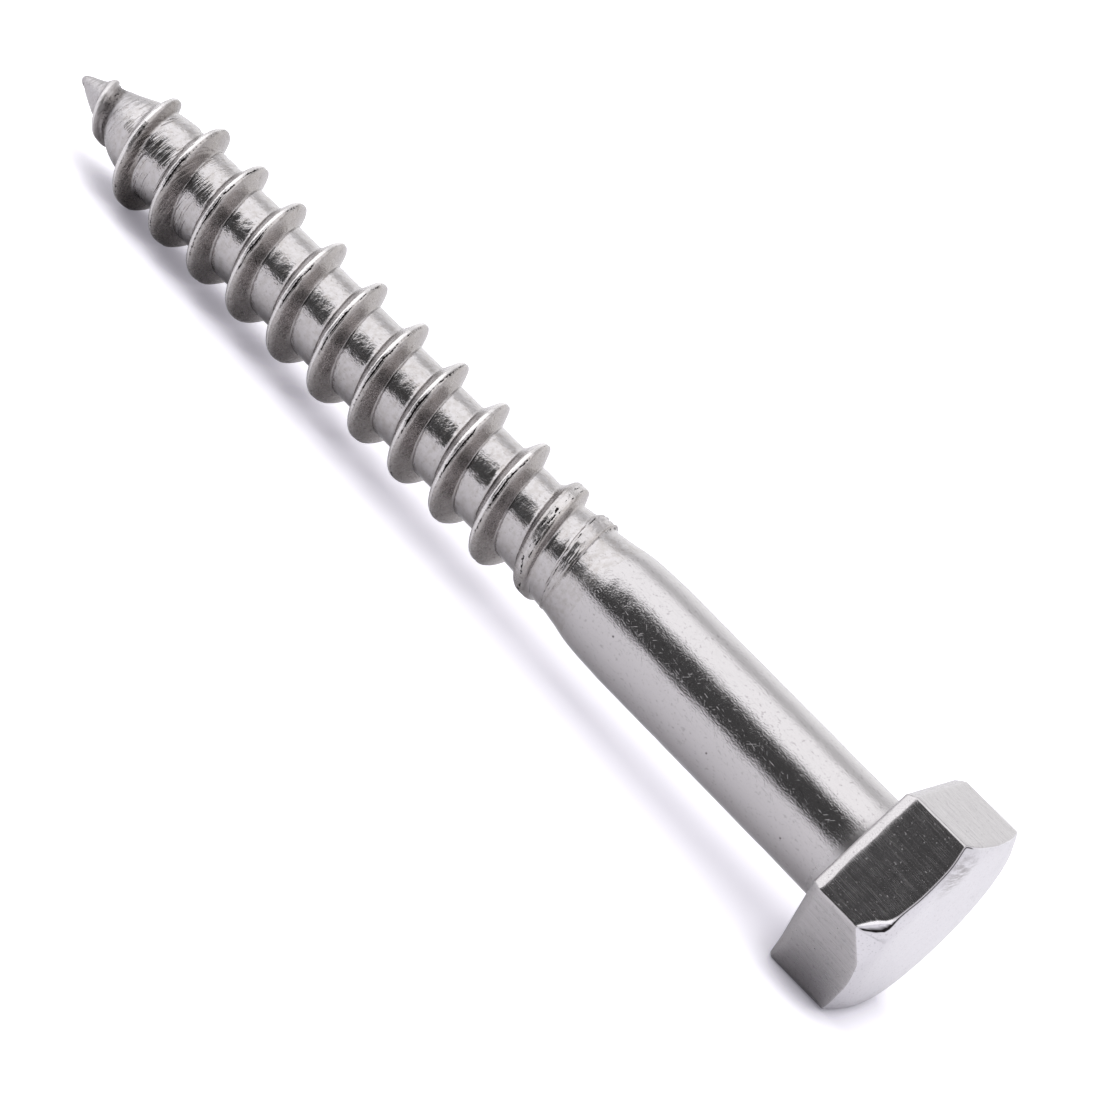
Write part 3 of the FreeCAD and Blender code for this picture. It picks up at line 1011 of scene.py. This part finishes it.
# Where the ridge mark passes 1.1, on the crest's rim and the last turn's lips, the colour is lightened: a
# painted highlight.
add_tint(rolled, add_node(tree, "MapRange", ridge, 1.1, 1.8, 0.0, 1.0), "#d9d6d7")
ragged = worked_noise(tree, rolled["place"], RAGGED_EDGE, 1.0)
ragged = add_node(tree, "MapRange", ragged, 0.35, 0.65, -0.25, 0.25)
ragged = add_node(tree, "Math", crack, ragged, operation="ADD")
add_tint(rolled, add_node(tree, "MapRange", ragged, 0.35, 0.6, 0.0, 1.0), "#1d1a1a")
print("scale spots of", round(1 / SCALE_SPOTS[0], 2), "mm")

# %% How rough the thread is
add_roughness(rolled, add_node(tree, "MapRange", ridge, 0.0, 1.0, 0.0, 0.10))
add_roughness(rolled, add_node(tree, "Math", at_point, 0.15, operation="MULTIPLY"))
add_roughness(rolled, add_node(tree, "MapRange", crack, 0.2, 0.8, 0.0, 0.3))
print(finish_steel(rolled))

# %% [markdown]
# ## Drawn shank
# The wire was drawn through a die, so its lines run along the axis; tumbling with the others crossed them
# with short scratches and a few small pits. To the eye it is nearly a mirror, with a fine ragged grain where
# bright meets dark. The drawing lines are really finer than they are drawn, 0.08 mm apart.

# %% Shank finish
DRAWING_LINES = (0.9, 12.0, 12.0)
PITS = 0.8
drawn = steel("drawn stainless shank", "#bdbabc", "#8f8b8d", roughness=0.14, spread=0.03, lines=4.5,
              grain=13.0, line_lumps=DRAWING_LINES)
tree = drawn["tree"]
for angle, low in ((38.0, 0.71), (-47.0, 0.72), (4.0, 0.71)):
    add_relief(drawn, scratches(tree, drawn["place"], angle, low), -3.5)
pit = add_node(tree, "TexVoronoi", drawn["place"], Scale=PITS)
chosen = add_node(tree, "SeparateColor", pit.node.outputs["Color"])
chosen = add_node(tree, "MapRange", chosen, 0.7, 0.75, 0.0, 1.0)
pit = add_node(tree, "MapRange", pit, 0.03, 0.07, 1.0, 0.0)
pit = add_node(tree, "Math", pit, chosen, operation="MULTIPLY")
add_tint(drawn, pit, "#635e5f")
add_relief(drawn, pit, -6.0)
along_axis = add_node(tree, "SeparateXYZ", drawn["place"])
add_roughness(drawn, add_node(tree, "MapRange", along_axis, -2.0, -0.4, 0.0, 0.22))
print(finish_steel(drawn))

# %% [markdown]
# ## Forged head
# The flats show the lines of the die they were forged in, long and close together and crossed by faint
# bands, with a few tiny specks that don't shine. Where the corner broke off at the chip, its broad edge is
# painted near white, a painted highlight. The chamfer and the end face were pressed, and came out satin and
# paler, with scuffs and one worn place.

# %% Finish of the flats
DIE_LINES = (0.09, 18.0, 18.0)
BANDS = (1.3, 0.15, 0.15)
DULL_SPECKS = (7.0, 9.0, 9.0)
forged = steel("forged stainless flats", "#bdbabc", "#8f8c8f", roughness=0.21, spread=0.07, lines=2.5,
               grain=4.0, line_lumps=DIE_LINES)
tree = forged["tree"]
add_tint(forged, add_node(tree, "MapRange", forged["line"], 0.4, 0.66, 0.0, 0.35), "#8f8c8f")
band = worked_noise(tree, forged["place"], BANDS, 2.0)
add_roughness(forged, add_node(tree, "MapRange", band, 0.35, 0.7, -0.01, 0.03))
dull = worked_noise(tree, forged["place"], DULL_SPECKS, 0.0)
add_roughness(forged, add_node(tree, "MapRange", dull, 0.76, 0.84, 0.0, 0.3))
marked = add_node(tree, "Attribute", attribute_name="marks")
painted_chip_highlight = add_node(tree, "SeparateColor", marked, output="Blue")
# The chip's broad edge is painted near white: a painted highlight.
add_tint(forged, add_node(tree, "MapRange", painted_chip_highlight, 0.1, 0.5, 0.0, 1.0), "#f2f0f1")
print(finish_steel(forged))

# %% Finish of the chamfer and the end face
WORN_AT = (5.0, -3.2, 4.9)
WORN_GRAIN = (3.0, 1.0, 5.0)
pressed = steel("pressed stainless end", "#d8d6db", "#a9a6ab", roughness=0.34, spread=0.03, lines=1.5,
                grain=6.0)
tree = pressed["tree"]
for angle, low in ((70.0, 0.68), (-20.0, 0.69)):
    add_relief(pressed, scratches(tree, pressed["place"], angle, low), -4.0)
worn = add_node(tree, "VectorMath", pressed["place"], WORN_AT, operation="DISTANCE")
worn = add_node(tree, "MapRange", worn, 0.5, 1.9, 0.75, 0.0)
brushed = worked_noise(tree, pressed["place"], WORN_GRAIN, 3.0)
brushed = add_node(tree, "MapRange", brushed, 0.38, 0.58, 0.0, 1.0)
add_tint(pressed, add_node(tree, "Math", worn, brushed, operation="MULTIPLY"), "#8d888a")
marked = add_node(tree, "Attribute", attribute_name="marks")
edge_line = add_node(tree, "SeparateColor", marked)
add_tint(pressed, add_node(tree, "MapRange", edge_line, 0.3, 0.8, 0.0, 1.0), "#262324")
print(finish_steel(pressed))

# %% [markdown]
# ## White paper
# The screw lies on a sheet of white paper, so bright that it has no edge in the picture. A lamp strong enough
# for that would burn out the steel. Instead the paper gives off a little light of its own to the camera
# alone, and less of it close to the steel, where the real paper is darkest.

# %% The sheet
PAPER_REACH = 3.0
floor_z = cad_box[0][2]
paper_corners = [(x * PAPER_REACH, y * PAPER_REACH, floor_z) for x, y in ((-1, -1), (1, -1), (1, 1), (-1, 1))]
paper_mesh = bpy.data.meshes.new("paper")
paper_mesh.from_pydata(paper_corners, [], [(0, 1, 2, 3)])
paper = bpy.data.objects.new("paper", paper_mesh)
bpy.context.scene.collection.objects.link(paper)
print("paper at", round(floor_z / MM, 3), "mm")

# %% Its white, and the shade close to the steel
TOUCH_REACH = 0.0025
DARKEST_TOUCH = 0.45
LIFT = 0.42
paper_white = bpy.data.materials.new("white paper")
paper_white.use_nodes = True
paper_mesh.materials.append(paper_white)
tree = paper_white.node_tree
ray = add_node(tree, "LightPath").node
seen = add_node(tree, "Math", ray.outputs["Is Camera Ray"], ray.outputs["Is Glossy Ray"], operation="MAXIMUM")
seen = add_node(tree, "Math", seen, ray.outputs["Is Transmission Ray"], operation="MAXIMUM")
tone = add_node(tree, "Mix", seen, colour("#dcd9e2"), colour("#fdfcff"), data_type="RGBA")
near = add_node(tree, "AmbientOcclusion", Distance=TOUCH_REACH, samples=8, output="AO")
touch = add_node(tree, "MapRange", near, 0.35, 0.95, DARKEST_TOUCH, 1.0)
lift = add_node(tree, "MapRange", ray.outputs["Is Camera Ray"], 0.0, 1.0, 0.0, LIFT)
# Close to the steel the paper's own light and its colour both go down: a painted contact shadow.
lift = add_node(tree, "Math", lift, touch, operation="MULTIPLY")
shaded = add_node(tree, "Mix", touch, colour("#8d8a92"), tone, data_type="RGBA")
shader = tree.nodes["Principled BSDF"]
tree.links.new(shaded, shader.inputs["Base Color"])
tree.links.new(lift, shader.inputs["Emission Strength"])
shader.inputs["Emission Color"].default_value = colour("#f4f0ff")
shader.inputs["Roughness"].default_value = 0.9
shader.inputs["Specular IOR Level"].default_value = 0.0
print("shade starts", TOUCH_REACH / MM, "mm from the steel")

# %% [markdown]
# ## The studio as a sky
# Metal shows what stands round it, so the light has to be a place and not only a lamp. Lamps and cards could
# be set up one by one, but a sky drawn by direction is the same thing in one go: turning round the screw's
# axis from the camera's side it is a dark room, then the big soft lamp, then the white wall behind. Each
# level below is an angle in degrees and how bright the sky is there. What faces the point end is lit from
# further round, because the dark room is narrower there.

# %% Light by the angle round the axis
LEVELS = ((0.0, 0.4), (2.0, 0.12), (5.0, 0.09), (54.0, 0.08), (57.0, 0.8), (61.0, 1.6), (112.0, 1.6),
          (117.0, 0.85), (140.0, 0.85), (148.0, 1.25), (180.0, 1.25))
NECK_TURN = math.radians(24)
world = bpy.data.worlds.new("studio")
bpy.context.scene.world = world
world.use_nodes = True
tree = world.node_tree
toward_x = add_node(tree, "SeparateXYZ", add_node(tree, "TexCoord"))
sideways = add_node(tree, "Math", toward_x.node.outputs["Y"], -1.0, operation="MULTIPLY")
turned = add_node(tree, "Math", toward_x.node.outputs["Z"], sideways, operation="ARCTAN2")
to_neck = add_node(tree, "MapRange", toward_x, -0.43, -0.50, 0.0, 1.0)
lifted = add_node(tree, "MapRange", turned, math.radians(40), math.radians(110), NECK_TURN, 0.0)
lifted = add_node(tree, "Math", lifted, to_neck, operation="MULTIPLY")
turned = add_node(tree, "Math", turned, lifted, operation="ADD")
share = add_node(tree, "MapRange", turned, 0.0, math.pi, 0.0, 1.0)
lamp = add_node(tree, "ValToRGB", share)
ramp = lamp.node.color_ramp
while len(ramp.elements) < len(LEVELS):
    ramp.elements.new(0.5)
for element, (angle, level) in zip(ramp.elements, LEVELS):
    element.position = angle / 180
    element.color = (level, level, level, 1.0)
print("brightest", max(level for angle, level in LEVELS), "darkest", min(level for angle, level in LEVELS))

# %% The ends of the room
HEAD_WALL = (0.95, 0.94, 0.97, 1.0)
WHITE = (1.0, 1.0, 1.0, 1.0)
to_head = add_node(tree, "MapRange", toward_x, 0.45, 0.8, 0.0, 1.0)
to_point = add_node(tree, "MapRange", toward_x, -0.62, -0.78, 0.0, 1.0)
above = add_node(tree, "MapRange", turned, math.radians(25), math.radians(60), 1.1, 1.75)
behind = add_node(tree, "MapRange", turned, math.radians(125), math.radians(150), 1.0, 0.4)
point_level = add_node(tree, "Math", above, behind, operation="MULTIPLY")
faded = add_node(tree, "Mix", to_head, lamp, HEAD_WALL, data_type="RGBA")
faded = add_node(tree, "Mix", to_point, faded, point_level, data_type="RGBA")
to_camera = add_node(tree, "LightPath", output="Is Camera Ray")
shown = add_node(tree, "Mix", to_camera, faded, WHITE, data_type="RGBA")
background = tree.nodes["Background"]
tree.links.new(shown, background.inputs["Color"])
background.inputs["Strength"].default_value = 1.0
print("wall past the head", HEAD_WALL[:3])

# %% [markdown]
# ## The camera
# The camera stands 230 mm away with a long lens, and is rolled so that the screw lies across the picture from
# corner to corner. Its place and its three axes are in the screw's own frame and are tilted with it.

# %% Camera
PICTURE_SIDE = 1096
FOCAL_PIXELS = 4106
SENSOR = 36.0
ROLL_COSINE, ROLL_SINE = 0.71486, 0.69926
camera_place = np.array([[46.185, -212.105, 84.279]])
view_axis = np.array([-0.303190, 0.885409, -0.352315])
along = np.array([0.952825, 0.287174, -0.098266])
across = np.array([-0.014170, 0.365488, 0.930708])
right = ROLL_COSINE * along + ROLL_SINE * across
up = -ROLL_SINE * along + ROLL_COSINE * across
camera_axes = resting(np.stack([right, up, -view_axis])) / MM
turning = Matrix([[camera_axes[j][i] for j in range(3)] for i in range(3)]).to_4x4()
camera = bpy.data.objects.new("camera", bpy.data.cameras.new("camera"))
bpy.context.scene.collection.objects.link(camera)
camera.matrix_world = Matrix.Translation(Vector(resting(camera_place)[0])) @ turning
camera.data.sensor_width = SENSOR
camera.data.lens = FOCAL_PIXELS / PICTURE_SIDE * SENSOR
camera.data.clip_start = 0.01
camera.data.clip_end = 20.0
bpy.context.scene.camera = camera
bpy.context.scene.view_settings.view_transform = "Standard"
print("camera", [round(v, 4) for v in camera.location], "lens", round(camera.data.lens, 1), "mm")
